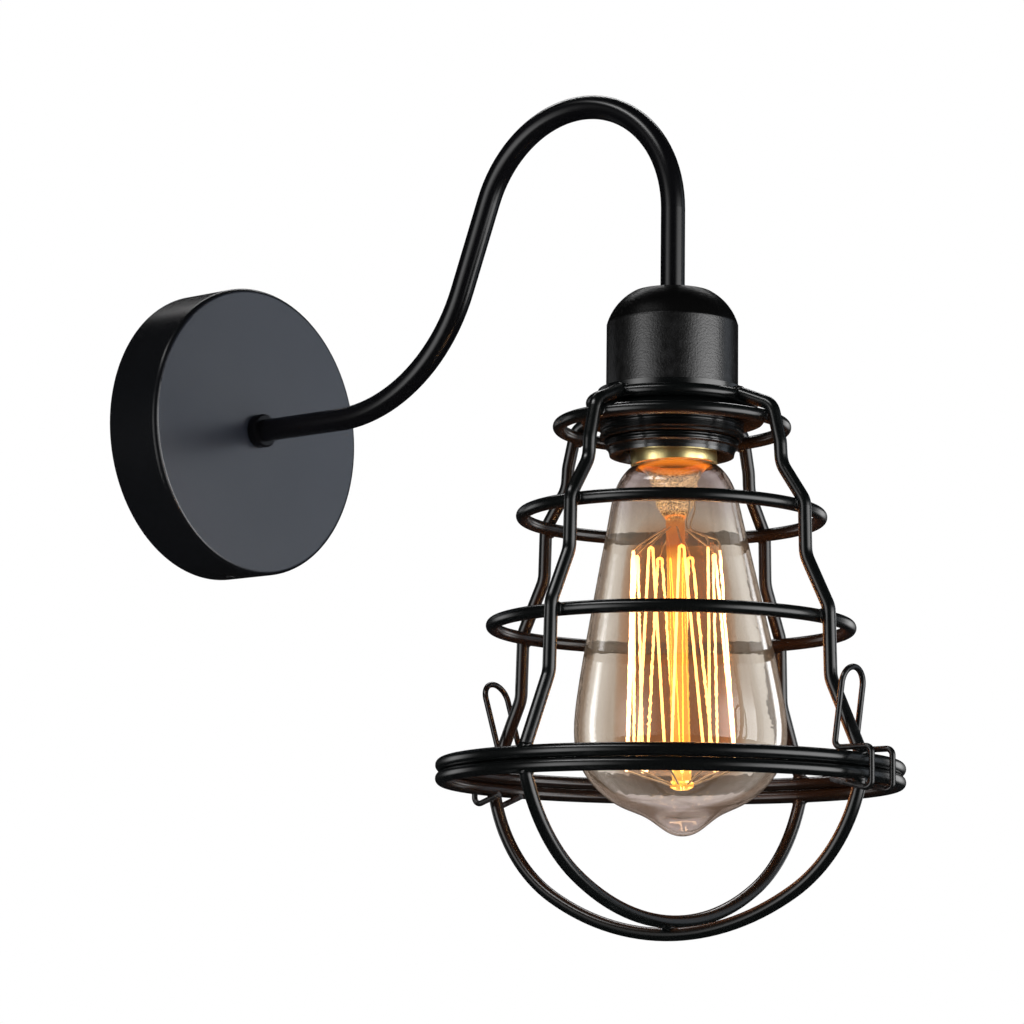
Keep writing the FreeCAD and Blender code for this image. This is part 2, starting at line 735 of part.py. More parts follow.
def filament_supports():
    """The fine hooks from the stem to the turns of the filament."""
    hooks = []
    for radius, height, azimuth in basket_turns()[1:-1]:
        upper = height > -90
        if upper:
            root = on_lamp(stem_rod_radius + 0.2 * support_radius, upper_hooks_foot, azimuth)
            tip_height = height + 0.6
            knee = on_lamp(radius - 2.5, tip_height + 2.0, azimuth)
        else:
            root = on_lamp(stem_button_radius + 0.2 * support_radius, stem_foot, azimuth)
            tip_height = height - 0.52
            knee = on_lamp(radius - 2.5, tip_height - 0.8, azimuth)
        points = [root, knee, on_lamp(radius, tip_height, azimuth)]
        hooks.append(tube(rounded_edges(points, [2.0]), support_radius))
    return Part.makeCompound(hooks)


def bulb_lead_wires():
    """The two wires from the waist of the stem to the filament's ends."""
    wires = []
    beside = stem_tube_radius + 0.9 * support_radius
    turns = basket_turns()
    for (radius, height, azimuth), side in ((turns[0], 1), (turns[-1], -1)):
        end = azimuth + side * turn_half_angle
        points = [on_lamp(beside, stem_press_top + 3.0, end), on_lamp(beside, stem_press_top - 1.0, end),
                  on_lamp(beside - 2.0, stem_press_bottom - 3.0, end),
                  on_lamp(radius, height + 3.0, end), on_lamp(radius, height, end)]
        wires.append(tube(rounded_edges(points, [2.0, 2.0, 2.0]), support_radius))
    return Part.makeCompound(wires)


# ---- all pieces ------------------------------------------------------------------------------

pieces = {
    "wall_canopy": wall_canopy(),
    "mounting_bracket": mounting_bracket(),
    "canopy_set_screws": canopy_set_screws(),
    "earth_screw": earth_screw(),
    "earth_tag": earth_tag(),
    "terminal_block": terminal_block(),
    "terminal_sleeves": terminal_sleeves(),
    "terminal_screws": terminal_screws(),
    "arm_tube": arm_tube(),
    "arm_collar": arm_collar(),
    "arm_lock_washer": arm_lock_washer(),
    "arm_lock_nut": arm_lock_nut(),
    "live_lead": live_lead(),
    "neutral_lead": neutral_lead(),
    "earth_lead": earth_lead(),
    "lampholder_cup": lampholder_cup(),
    "cup_lock_nut": cup_lock_nut(),
    "lampholder_body": lampholder_body(),
    "lampholder_core": lampholder_core(),
    "screw_shell": screw_shell(),
    "centre_contact": centre_contact(),
    "holder_clamps": holder_clamps(),
    "holder_clamp_screws": holder_clamp_screws(),
    "shade_ring": shade_ring(),
    "cage_collar": cage_collar(),
    "cage_top_ring": ring(*top_ring),
    "cage_upper_ring": ring(*upper_ring),
    "cage_middle_ring": ring(*middle_ring),
    "cage_lower_ring": ring(*lower_ring),
    "cage_rim_ring": ring(*rim_ring),
    "upright_front": upright(0),
    "upright_right": upright(90),
    "upright_rear": upright(180),
    "upright_left": upright(270),
    "guard_ring": ring(rim_ring[0], guard_ring_height),
    "guard_bow_front_rear": guard_bow(0, guard_bottom),
    "guard_bow_sides": guard_bow(90, guard_bottom + 2 * wire - weld_sink),
    "front_clip": spring_clip(0, front_clip_base, front_clip_reach, front_clip_lean, front_clip_top),
    "rear_clip": spring_clip(180, rear_clip_base, rear_clip_reach, rear_clip_lean, rear_clip_top),
    "bulb_glass": bulb_glass(),
    "bulb_cap": bulb_cap(),
    "bulb_cap_insulator": bulb_cap_insulator(),
    "bulb_contact": bulb_contact(),
    "bulb_stem": bulb_stem(),
    "bulb_lead_wires": bulb_lead_wires(),
    "filament_supports": filament_supports(),
    "filament": filament(),
}

lean_side = on_lamp(1, 0, bulb_lean_azimuth) - on_lamp(0, 0, bulb_lean_azimuth)
for name in ("bulb_glass", "bulb_cap", "bulb_cap_insulator", "bulb_contact", "bulb_stem", "bulb_lead_wires",
             "filament_supports", "filament"):
    pieces[name].rotate(on_lamp(0, cap_contact_top), lean_side.cross(UP), bulb_lean)
    pieces[name].translate(Vector(0, 0, -bulb_seat_gap))

for name, shape in pieces.items():
    shape.exportStep("parts/" + name + ".step")
    print(name, "solids", len(shape.Solids), "valid", shape.isValid(), "volume", round(shape.Volume, 1))
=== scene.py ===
"""The finish of the cage wall light: paint, wire, glass, brass and the glowing filament.

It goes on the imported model, in metres and in the model's own frame. The wall is the plane y = 0, the
room is on the -y side and +z is up.
"""
import json
import math

import bmesh
import bpy
from mathutils import Matrix, Vector, noise

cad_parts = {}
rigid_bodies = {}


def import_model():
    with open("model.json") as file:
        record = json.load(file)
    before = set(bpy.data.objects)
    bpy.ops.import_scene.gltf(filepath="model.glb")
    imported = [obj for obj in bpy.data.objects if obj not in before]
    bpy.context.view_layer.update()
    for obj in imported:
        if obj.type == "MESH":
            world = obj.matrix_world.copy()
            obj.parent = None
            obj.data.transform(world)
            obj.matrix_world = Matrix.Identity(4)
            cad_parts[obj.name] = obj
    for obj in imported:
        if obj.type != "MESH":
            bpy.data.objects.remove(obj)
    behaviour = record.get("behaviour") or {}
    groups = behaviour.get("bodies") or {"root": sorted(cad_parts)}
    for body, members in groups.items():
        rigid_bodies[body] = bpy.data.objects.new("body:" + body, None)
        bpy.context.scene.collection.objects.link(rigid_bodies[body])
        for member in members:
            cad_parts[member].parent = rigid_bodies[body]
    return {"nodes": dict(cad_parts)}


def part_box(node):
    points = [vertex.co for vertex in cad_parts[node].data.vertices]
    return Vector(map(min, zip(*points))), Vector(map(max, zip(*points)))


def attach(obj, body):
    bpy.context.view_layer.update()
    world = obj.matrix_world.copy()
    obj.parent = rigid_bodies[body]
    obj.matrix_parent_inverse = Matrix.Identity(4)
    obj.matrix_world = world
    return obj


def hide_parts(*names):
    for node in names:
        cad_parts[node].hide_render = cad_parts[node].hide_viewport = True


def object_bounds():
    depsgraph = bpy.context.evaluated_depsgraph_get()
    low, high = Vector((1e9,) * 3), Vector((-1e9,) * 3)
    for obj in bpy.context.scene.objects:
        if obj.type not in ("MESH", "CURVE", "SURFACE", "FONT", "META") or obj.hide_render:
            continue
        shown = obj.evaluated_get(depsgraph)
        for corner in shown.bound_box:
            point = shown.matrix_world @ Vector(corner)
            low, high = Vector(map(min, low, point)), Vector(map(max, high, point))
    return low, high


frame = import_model()
cad_low, cad_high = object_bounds()
scene = bpy.context.scene

# ---- the light's own places, read from the model ----------------------------------------------

UP = Vector((0, 0, 1))
rim_low, rim_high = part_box("cage_rim_ring")
lamp_axis = (rim_low + rim_high) / 2
guard_low, guard_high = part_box("guard_ring")
wire_radius = (guard_high.z - guard_low.z) / 2
plate_low, plate_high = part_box("wall_canopy")
plate_radius = (plate_high.z - plate_low.z) / 2
plate_roll = 0.0016                     # radius of the plate's rolled edge
cup_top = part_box("lampholder_cup")[1].z
cup_shoulder = cup_top - 0.0102         # height where the cup's straight wall ends
glass_low, glass_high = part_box("bulb_glass")
stem_low, stem_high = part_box("bulb_stem")
stem_foot = stem_high.z - 0.0012        # height where the lit part of the stem starts
stem_length = stem_foot - stem_low.z - 0.0013
strands_low, strands_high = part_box("filament")

cage_rings = ["cage_top_ring", "cage_upper_ring", "cage_middle_ring", "cage_lower_ring", "cage_rim_ring"]
uprights = ["upright_front", "upright_right", "upright_rear", "upright_left"]
guard_wires = ["guard_ring", "guard_bow_front_rear", "guard_bow_sides"]
cage_sides = [("front", 0), ("right", 90), ("rear", 180), ("left", 270)]


def on_lamp(radius, height, azimuth):
    """A point round the lamp's axis. Azimuth 0 faces the room, 90 faces +x and 180 the wall."""
    turn = math.radians(azimuth)
    return Vector((lamp_axis.x + radius * math.sin(turn), lamp_axis.y - radius * math.cos(turn), height))


def outward_at(azimuth):
    """The direction away from the lamp's axis."""
    return (on_lamp(1, 0, azimuth) - on_lamp(0, 0, azimuth)).normalized()


def ring_line(node):
    """The centre line of a wire ring: its radius and height."""
    low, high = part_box(node)
    return (high.x - low.x) / 2 - wire_radius, (high.z + low.z) / 2


def down_glass(share):
    """A height in the bulb's glass: 0 is its neck and 1 its tip."""
    return glass_high.z + share * (glass_low.z - glass_high.z)


def in_bulb(height):
    """The point on the leaning axis of the bulb at a height."""
    foot_low, foot_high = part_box("bulb_contact")
    foot = (foot_low + foot_high) / 2
    shell = frame["nodes"]["bulb_glass"].data
    tip = min((vertex.co for vertex in shell.vertices), key=lambda corner: corner.z)
    return foot.lerp(tip, (height - foot.z) / (tip.z - foot.z))


# ---- node helpers -----------------------------------------------------------------------------

def add(tree, kind, inputs=None, **settings):
    """Adds a node. inputs holds values or sockets for its inputs, by name or place."""
    node = tree.nodes.new(kind)
    for key, value in settings.items():
        setattr(node, key, value)
    for key, value in (inputs or {}).items():
        if isinstance(value, bpy.types.NodeSocket):
            tree.links.new(value, node.inputs[key])
        else:
            node.inputs[key].default_value = value
    return node


def math_node(tree, operation, first, second=0.0, third=0.0):
    """One step of arithmetic. third counts only where the step takes three values."""
    return add(tree, "ShaderNodeMath", {0: first, 1: second, 2: third}, operation=operation).outputs[0]


def ranged(tree, value, low, high, new_low, new_high):
    """The value moved from one range to another, without passing its ends."""
    return add(tree, "ShaderNodeMapRange", {
        "Value": value, "From Min": low, "From Max": high, "To Min": new_low, "To Max": new_high,
    }).outputs["Result"]


def mixed(tree, share, first, second):
    """Two colours mixed by a share."""
    node = add(tree, "ShaderNodeMix", {0: share, 6: first, 7: second}, data_type="RGBA")
    return node.outputs[2]


def ramped(tree, share, stops):
    """A colour from a ramp. stops holds its places and their colours, in order."""
    node = add(tree, "ShaderNodeValToRGB", {"Fac": share})
    ramp = node.color_ramp
    ramp.elements[0].position, ramp.elements[0].color = stops[0]
    ramp.elements[1].position, ramp.elements[1].color = stops[-1]
    for position, tone in stops[1:-1]:
        ramp.elements.new(position).color = tone
    return node.outputs["Color"]


def height_of(tree, place):
    """The height of a place."""
    return add(tree, "ShaderNodeSeparateXYZ", {0: place}).outputs["Z"]


def new_group(name, inputs, outputs):
    """An empty shader group with named sockets. Returns its tree, its inputs and its output node."""
    tree = bpy.data.node_groups.new(name, "ShaderNodeTree")
    kinds = {"colour": "NodeSocketColor", "value": "NodeSocketFloat", "vector": "NodeSocketVector"}
    for socket, kind in inputs.items():
        tree.interface.new_socket(socket, in_out="INPUT", socket_type=kinds[kind])
    for socket, kind in outputs.items():
        tree.interface.new_socket(socket, in_out="OUTPUT", socket_type=kinds[kind])
    return tree, tree.nodes.new("NodeGroupInput").outputs, tree.nodes.new("NodeGroupOutput").inputs


def placed(tree, group, **values):
    """A group placed in a material, with its own values. An underscore stands for a space."""
    node = tree.nodes.new("ShaderNodeGroup")
    node.node_tree = group
    for key, value in values.items():
        socket = node.inputs[key.replace("_", " ")]
        if isinstance(value, bpy.types.NodeSocket):
            tree.links.new(value, socket)
        else:
            socket.default_value = value
    return node.outputs


def colour(red, green, blue):
    """An opaque colour."""
    return (red, green, blue, 1.0)


# ---- effects that several materials share -----------------------------------------------------

def make_paint_film():
    """A sprayed or powder coat: slow drifts of tone, and the fine peel of the skin."""
    tree, given, result = new_group(
        "paint_film",
        {"Vector": "vector", "Tone": "colour", "Drift": "value", "Gloss drift": "value",
         "Roughness": "value", "Peel per metre": "value", "Speckle": "value"},
        {"Color": "colour", "Roughness": "value", "Height": "value"})
    slow = add(tree, "ShaderNodeTexNoise", {"Vector": given["Vector"], "Scale": 38.0, "Detail": 3.0})
    peel = add(tree, "ShaderNodeTexNoise", {
        "Vector": given["Vector"], "Scale": given["Peel per metre"], "Detail": 2.0, "Roughness": 0.45})
    grains = math_node(tree, "MULTIPLY", given["Peel per metre"], 2.7)
    speck = add(tree, "ShaderNodeTexNoise", {"Vector": given["Vector"], "Scale": grains, "Detail": 1.0})
    swing = math_node(tree, "SUBTRACT", slow.outputs["Fac"], 0.5)
    lift = math_node(tree, "MULTIPLY_ADD", swing, given["Drift"], 1.0)
    bright = math_node(tree, "SUBTRACT", speck.outputs["Fac"], 0.5)
    lift = math_node(tree, "MULTIPLY_ADD", bright, given["Speckle"], lift)
    toned = add(tree, "ShaderNodeVectorMath", {0: given["Tone"], 3: lift}, operation="SCALE")
    tree.links.new(toned.outputs[0], result["Color"])
    tree.links.new(math_node(tree, "MULTIPLY_ADD", swing, given["Gloss drift"], given["Roughness"]),
                   result["Roughness"])
    tree.links.new(math_node(tree, "MULTIPLY_ADD", speck.outputs["Fac"], 0.35, peel.outputs["Fac"]),
                   result["Height"])
    return tree


def make_edge_rub():
    """Corners where handling has thinned the paint a little."""
    tree, given, result = new_group(
        "edge_rub", {"Color": "colour", "Bare": "colour", "Amount": "value", "Vector": "vector"},
        {"Color": "colour"})
    corner = ranged(tree, add(tree, "ShaderNodeNewGeometry").outputs["Pointiness"], 0.53, 0.62, 0.0, 1.0)
    patchy = add(tree, "ShaderNodeTexNoise", {"Vector": given["Vector"], "Scale": 420.0, "Detail": 3.0})
    broken = ranged(tree, patchy.outputs["Fac"], 0.38, 0.66, 0.15, 1.0)
    mask = math_node(tree, "MULTIPLY", math_node(tree, "MULTIPLY", corner, broken), given["Amount"])
    tree.links.new(mixed(tree, mask, given["Color"], given["Bare"]), result["Color"])
    return tree


def make_worked_metal():
    """Rolled, drawn or plated metal: fine lines across one direction and a cloudy tarnish."""
    tree, given, result = new_group(
        "worked_metal",
        {"Vector": "vector", "Lines": "vector", "Bright": "colour", "Dull": "colour",
         "Tarnish": "value", "Roughness": "value"},
        {"Color": "colour", "Roughness": "value", "Height": "value"})
    stretched = add(tree, "ShaderNodeVectorMath", {0: given["Vector"], 1: given["Lines"]},
                    operation="MULTIPLY")
    lines = add(tree, "ShaderNodeTexNoise", {"Vector": stretched.outputs[0], "Scale": 1.0, "Detail": 4.0})
    cloud = add(tree, "ShaderNodeTexNoise", {"Vector": given["Vector"], "Scale": 260.0, "Detail": 4.0})
    stain = math_node(tree, "MULTIPLY", ranged(tree, cloud.outputs["Fac"], 0.40, 0.68, 0.0, 1.0),
                      given["Tarnish"])
    tree.links.new(mixed(tree, stain, given["Bright"], given["Dull"]), result["Color"])
    rough = math_node(tree, "MULTIPLY_ADD", lines.outputs["Fac"], 0.10, given["Roughness"])
    tree.links.new(math_node(tree, "MULTIPLY_ADD", stain, 0.12, rough), result["Roughness"])
    tree.links.new(lines.outputs["Fac"], result["Height"])
    return tree


def make_moulded_grain():
    """The faint sand grain and uneven shine of a moulding."""
    tree, given, result = new_group(
        "moulded_grain",
        {"Vector": "vector", "Tone": "colour", "Roughness": "value", "Grains per metre": "value"},
        {"Color": "colour", "Roughness": "value", "Height": "value"})
    grain = add(tree, "ShaderNodeTexNoise",
                {"Vector": given["Vector"], "Scale": given["Grains per metre"], "Detail": 2.0})
    flow = add(tree, "ShaderNodeTexNoise", {"Vector": given["Vector"], "Scale": 90.0, "Detail": 2.0})
    lift = ranged(tree, flow.outputs["Fac"], 0.3, 0.7, 0.88, 1.12)
    toned = add(tree, "ShaderNodeVectorMath", {0: given["Tone"], 3: lift}, operation="SCALE")
    tree.links.new(toned.outputs[0], result["Color"])
    tree.links.new(math_node(tree, "MULTIPLY_ADD", flow.outputs["Fac"], 0.12, given["Roughness"]),
                   result["Roughness"])
    tree.links.new(grain.outputs["Fac"], result["Height"])
    return tree


def make_stem_light():
    """The painted glow in the stem and its stain, from its foot in the cap down to its tip.

    Color is the painted glow, with fine painted gold glints below the foot. Tint is the amber of the
    glass.
    """
    tree, given, result = new_group(
        "stem_light", {"Vector": "vector", "Foot": "value", "Length": "value"},
        {"Color": "colour", "Tint": "colour"})
    drop = math_node(tree, "SUBTRACT", given["Foot"], height_of(tree, given["Vector"]))
    down = math_node(tree, "DIVIDE", drop, given["Length"])
    light = ramped(tree, down, [
        (0.0, colour(0.95, 0.30, 0.012)), (0.016, colour(0.80, 0.25, 0.010)),
        (0.028, colour(0.0, 0.0, 0.0)), (0.15, colour(0.0, 0.0, 0.0)),
        (0.20, colour(0.36, 0.12, 0.006)), (0.26, colour(0.5, 0.20, 0.01)),
        (0.31, colour(1.0, 0.84, 0.22)), (0.90, colour(1.0, 0.84, 0.24)),
        (1.0, colour(0.9, 0.35, 0.02)),
    ])
    # Painted gold glints below the foot, part of the stem's painted glow.
    painted_glints = add(tree, "ShaderNodeTexVoronoi", {"Vector": given["Vector"], "Scale": 900.0},
                 feature="DISTANCE_TO_EDGE")
    lines = ranged(tree, painted_glints.outputs["Distance"], 0.02, 0.09, 1.0, 0.0)
    near_foot = math_node(tree, "MULTIPLY", ranged(tree, down, 0.03, 0.05, 0.0, 1.0),
                          ranged(tree, down, 0.16, 0.20, 1.0, 0.0))
    share = math_node(tree, "MULTIPLY", lines, math_node(tree, "MULTIPLY", near_foot, 0.75))
    tree.links.new(mixed(tree, share, light, colour(1.0, 0.70, 0.34)), result["Color"])
    stain = ramped(tree, down, [
        (0.0, colour(0.50, 0.20, 0.015)), (0.024, colour(0.50, 0.20, 0.015)),
        (0.034, colour(1.0, 1.0, 1.0)), (0.11, colour(1.0, 1.0, 1.0)),
        (0.16, colour(0.46, 0.20, 0.03)), (0.25, colour(0.55, 0.28, 0.05)),
        (0.30, colour(0.90, 0.74, 0.22)), (1.0, colour(0.95, 0.82, 0.30)),
    ])
    tree.links.new(stain, result["Tint"])
    return tree


def make_heat():
    """A colour along a piece's height: Hot over the middle, turning to Cool at both ends."""
    tree, given, result = new_group(
        "heat", {"Vector": "vector", "Middle": "value", "Half height": "value", "Cool": "colour",
                 "Hot": "colour"},
        {"Color": "colour"})
    above = math_node(tree, "SUBTRACT", height_of(tree, given["Vector"]), given["Middle"])
    share = math_node(tree, "DIVIDE", math_node(tree, "ABSOLUTE", above), given["Half height"])
    cooled = ranged(tree, share, 0.72, 1.0, 0.0, 1.0)
    tree.links.new(mixed(tree, cooled, given["Hot"], given["Cool"]), result["Color"])
    return tree


paint_film = make_paint_film()
edge_rub = make_edge_rub()
worked_metal = make_worked_metal()
moulded_grain = make_moulded_grain()
heat = make_heat()
stem_light = make_stem_light()


# ---- materials --------------------------------------------------------------------------------

def blank(name):
    """A new material, its tree, its surface output and the place on the piece."""
    material = bpy.data.materials.new(name)
    material.use_nodes = True
    tree = material.node_tree
    tree.nodes.clear()
    output = tree.nodes.new("ShaderNodeOutputMaterial")
    place = add(tree, "ShaderNodeTexCoord").outputs["Object"]
    return material, tree, output, place


def bumped(tree, height, depth):
    """A normal from a height. depth is in metres."""
    return add(tree, "ShaderNodeBump", {"Height": height, "Distance": depth, "Strength": 1.0}
               ).outputs["Normal"]


def over_piece(value, tree, place):
    """The value itself, or what it makes from the place on the piece."""
    return value(tree, place) if callable(value) else value


def painted(name, tone, roughness, peel, peel_depth, shine, rub, gloss_drift=0.04, speckle=0.2):
    """Black paint or powder coat over steel. tone and shine may change over the piece.

    peel is the bumps of the skin to a metre and peel_depth their height in metres.
    """
    material, tree, output, place = blank(name)
    film = placed(tree, paint_film, Vector=place, Tone=over_piece(tone, tree, place), Drift=0.25,
                  Gloss_drift=gloss_drift, Roughness=roughness, Peel_per_metre=peel, Speckle=speckle)
    rubbed = placed(tree, edge_rub, Color=film["Color"], Bare=colour(0.10, 0.10, 0.105), Amount=rub,
                    Vector=place)
    shader = add(tree, "ShaderNodeBsdfPrincipled", {
        "Base Color": rubbed["Color"], "Roughness": film["Roughness"],
        "Specular IOR Level": over_piece(shine, tree, place),
        "Normal": bumped(tree, film["Height"], peel_depth)})
    tree.links.new(shader.outputs[0], output.inputs["Surface"])
    return material


def cup_shine(tree, place):
    """Satin on the cup's straight wall, dead matt on its shoulder."""
    return ranged(tree, height_of(tree, place), cup_shoulder - 0.0004, cup_shoulder + 0.0004, 0.5, 0.03)


def plate_painted_light_mask(tree, place):
    """1 on the plate's flat face and 0 on its rolled edge and its side: where the plate is painted lit
    and where it is in painted shade, and where its shine changes.
    """
    across = add(tree, "ShaderNodeVectorMath", {0: place, 1: (1, 0, 1)}, operation="MULTIPLY").outputs[0]
    radius = add(tree, "ShaderNodeVectorMath", {0: across}, operation="LENGTH").outputs["Value"]
    return ranged(tree, radius, plate_radius - plate_roll, plate_radius - plate_roll / 2, 1.0, 0.0)


def plate_shine(tree, place):
    """Satin on the plate's face, duller on its side."""
    return ranged(tree, plate_painted_light_mask(tree, place), 0.0, 1.0, 0.16, 1.0)


def plate_painted_light_tone(tree, place):
    """Painted light and shade: slate painted lighter on the plate's face as if lit, near black on its
    rolled edge and side as painted shade.
    """
    return mixed(tree, plate_painted_light_mask(tree, place), colour(0.003, 0.0033, 0.004), colour(0.014, 0.017, 0.025))


def metal(name, bright, dull, roughness, lines=(900.0, 900.0, 60.0), tarnish=0.5):
    """Bare metal with the marks of its making. lines is how many to a metre, along x, y and z."""
    line_depth = 0.000006
    material, tree, output, place = blank(name)
    worked = placed(tree, worked_metal, Vector=place, Lines=lines, Bright=bright, Dull=dull,
                    Tarnish=tarnish, Roughness=roughness)
    shader = add(tree, "ShaderNodeBsdfPrincipled", {
        "Base Color": worked["Color"], "Metallic": 1.0, "Roughness": worked["Roughness"],
        "Normal": bumped(tree, worked["Height"], line_depth)})
    tree.links.new(shader.outputs[0], output.inputs["Surface"])
    return material


def moulded(name, tone, roughness, grains=2400.0, grain_depth=0.000010, shine=0.5):
    """A moulded or fired piece."""
    material, tree, output, place = blank(name)
    grain = placed(tree, moulded_grain, Vector=place, Tone=tone, Roughness=roughness,
                   Grains_per_metre=grains)
    shader = add(tree, "ShaderNodeBsdfPrincipled", {
        "Base Color": grain["Color"], "Roughness": grain["Roughness"],
        "Normal": bumped(tree, grain["Height"], grain_depth), "Specular IOR Level": shine})
    tree.links.new(shader.outputs[0], output.inputs["Surface"])
    return material


def glass(name, slant_shading, smoke_of, glow_of, glow_strength, wave_depth=0.000012, roughness=0.0):
    """Blown glass. slant_shading is painted light and shade on its colour, from where it is looked at
    squarely to its outline.

    smoke_of stains it and glow_of is a painted glow of the light that it catches. Its shadow lets light
    pass.
    """
    material, tree, output, place = blank(name)
    waves = add(tree, "ShaderNodeTexNoise", {"Vector": place, "Scale": 24.0, "Detail": 1.0})
    slant = add(tree, "ShaderNodeLayerWeight", {"Blend": 0.5}).outputs["Facing"]
    smoked = add(tree, "ShaderNodeVectorMath", {0: ramped(tree, slant, slant_shading), 1: smoke_of(tree, place)},
                 operation="MULTIPLY")
    shader = add(tree, "ShaderNodeBsdfPrincipled", {
        "Base Color": smoked.outputs[0], "Roughness": roughness, "IOR": 1.47, "Transmission Weight": 1.0,
        "Normal": bumped(tree, waves.outputs["Fac"], wave_depth),
        "Emission Color": glow_of(tree, place), "Emission Strength": glow_strength})
    passing = add(tree, "ShaderNodeBsdfTransparent", {"Color": colour(0.94, 0.90, 0.86)})
    shadow = add(tree, "ShaderNodeLightPath").outputs["Is Shadow Ray"]
    surface = add(tree, "ShaderNodeMixShader", {0: shadow, 1: shader.outputs[0], 2: passing.outputs[0]})
    tree.links.new(surface.outputs[0], output.inputs["Surface"])
    return material


def neck_smoke(tree, place):
    """The smoke in the bulb's glass, thicker towards the neck and the tip."""
    return placed(tree, heat, Vector=place, Middle=down_glass(0.523), Half_height=0.050,
                  Cool=colour(0.74, 0.70, 0.74), Hot=colour(1.0, 1.0, 1.0))["Color"]


def caught_light(tree, place):
    """A painted glow on the bulb's glass: the filament's light caught in the smoke of the glass."""
    return placed(tree, heat, Vector=place, Middle=down_glass(0.632), Half_height=0.060,
                  Cool=colour(0.20, 0.15, 0.12), Hot=colour(1.0, 0.78, 0.56))["Color"]


def filament_heat(tree, place):
    """White-hot strands that cool to orange at the turns."""
    middle = (strands_low.z + strands_high.z) / 2 - 0.0021
    half_height = (strands_high.z - strands_low.z) / 2 + 0.005
    return placed(tree, heat, Vector=place, Middle=middle, Half_height=half_height,
                  Cool=colour(1.0, 0.40, 0.08), Hot=colour(1.0, 0.80, 0.48))["Color"]


def stem_painted_glow(tree, place):
    """A painted glow that the stem carries, though it is no lamp: orange at its foot, yellow between the
    strands.
    """
    return placed(tree, stem_light, Vector=place, Foot=stem_foot, Length=stem_length)["Color"]


def stem_stain(tree, place):
    """The amber of the stem's glass, which its clear flare doesn't have."""
    return placed(tree, stem_light, Vector=place, Foot=stem_foot, Length=stem_length)["Tint"]


def glowing(name, heat_of, strength, rim):
    """A piece so hot that it lights its surroundings, redder at its outline."""
    material, tree, output, place = blank(name)
    slant = add(tree, "ShaderNodeLayerWeight", {"Blend": 0.5}).outputs["Facing"]
    glow = mixed(tree, ranged(tree, slant, 0.45, 1.0, 0.0, 1.0), heat_of(tree, place), rim)
    shader = add(tree, "ShaderNodeBsdfPrincipled", {
        "Base Color": colour(0.05, 0.03, 0.02), "Roughness": 0.6, "Emission Strength": strength,
        "Emission Color": glow})
    tree.links.new(shader.outputs[0], output.inputs["Surface"])
    return material


glow_skin_top = -0.044               # height of the skin of painted glow round the strands
glow_skin_bottom = -0.128
glow_skin_fade = 0.012               # it thins out over this height at each end


def painted_glow_skin(name, deep, glow, glow_strength):
    """A painted glow round the strands, a warm tint and light on a sheet where the bulb holds only air:
    deepest where it is looked at squarely.
    """
    material, tree, output, place = blank(name)
    slant = add(tree, "ShaderNodeLayerWeight", {"Blend": 0.5}).outputs["Facing"]
    height = height_of(tree, place)
    ends = math_node(tree, "MULTIPLY", ranged(tree, height, glow_skin_top, glow_skin_top - glow_skin_fade, 0.0, 1.0),
                     ranged(tree, height, glow_skin_bottom, glow_skin_bottom + glow_skin_fade, 0.0, 1.0))
    share = math_node(tree, "MULTIPLY", ranged(tree, slant, 0.15, 0.85, 1.0, 0.0), ends)
    passing = add(tree, "ShaderNodeBsdfTransparent", {"Color": mixed(tree, share, colour(1, 1, 1), deep)})
    brightness = math_node(tree, "MULTIPLY", share, glow_strength)
    warm = add(tree, "ShaderNodeEmission", {"Color": glow, "Strength": brightness})
    surface = add(tree, "ShaderNodeAddShader", {0: passing.outputs[0], 1: warm.outputs[0]})
    tree.links.new(surface.outputs[0], output.inputs["Surface"])
    return material


# The plate's tone is painted light and shade: a lit slate face and a side in painted shade.
plate_paint = painted("plate_powder_coat", plate_painted_light_tone, 0.26, peel=1300, peel_depth=0.000005,
                      shine=plate_shine, rub=0.0, speckle=0.5)
arm_paint = painted("arm_gloss_black", colour(0.002, 0.002, 0.0025), 0.22, peel=700,
                    peel_depth=0.000003, shine=0.30, rub=0.0)
cup_paint = painted("cup_satin_black", colour(0.002, 0.002, 0.002), 0.28, peel=1700,
                    peel_depth=0.000070, shine=cup_shine, rub=0.1, gloss_drift=0.02, speckle=0.6)
cage_paint = painted("cage_wire_black", colour(0.002, 0.0025, 0.0025), 0.22, peel=700,
                     peel_depth=0.000003, shine=0.4, rub=0.05)
clip_paint = painted("clip_wire_black", colour(0.003, 0.003, 0.003), 0.24, peel=1500,
                     peel_depth=0.000005, shine=0.4, rub=0.5, gloss_drift=0.10)
holder_black = moulded("holder_moulding_black", colour(0.002, 0.0025, 0.0025), 0.14, shine=0.65)
core_white = moulded("core_fired_white", colour(0.74, 0.71, 0.64), 0.62, grains=1600, grain_depth=0.00002)
nylon = moulded("terminal_nylon", colour(0.72, 0.72, 0.68), 0.42)
brown_skin = moulded("lead_brown", colour(0.11, 0.045, 0.02), 0.42)
blue_skin = moulded("lead_blue", colour(0.03, 0.10, 0.38), 0.42)
green_skin = moulded("lead_green", colour(0.07, 0.36, 0.06), 0.42)
bead_glass = moulded("cap_bead_glass", colour(0.01, 0.01, 0.013), 0.08)
zinc = metal("zinc_plate", colour(0.62, 0.64, 0.67), colour(0.40, 0.41, 0.42), 0.28)
brass = metal("terminal_brass", colour(0.80, 0.60, 0.26), colour(0.46, 0.32, 0.13), 0.24)
cap_brass = metal("cap_rolled_brass", colour(0.84, 0.71, 0.33), colour(0.52, 0.41, 0.17), 0.27,
                  lines=(60.0, 60.0, 2600.0), tarnish=0.35)
solder = metal("contact_solder", colour(0.60, 0.60, 0.60), colour(0.38, 0.38, 0.37), 0.42)
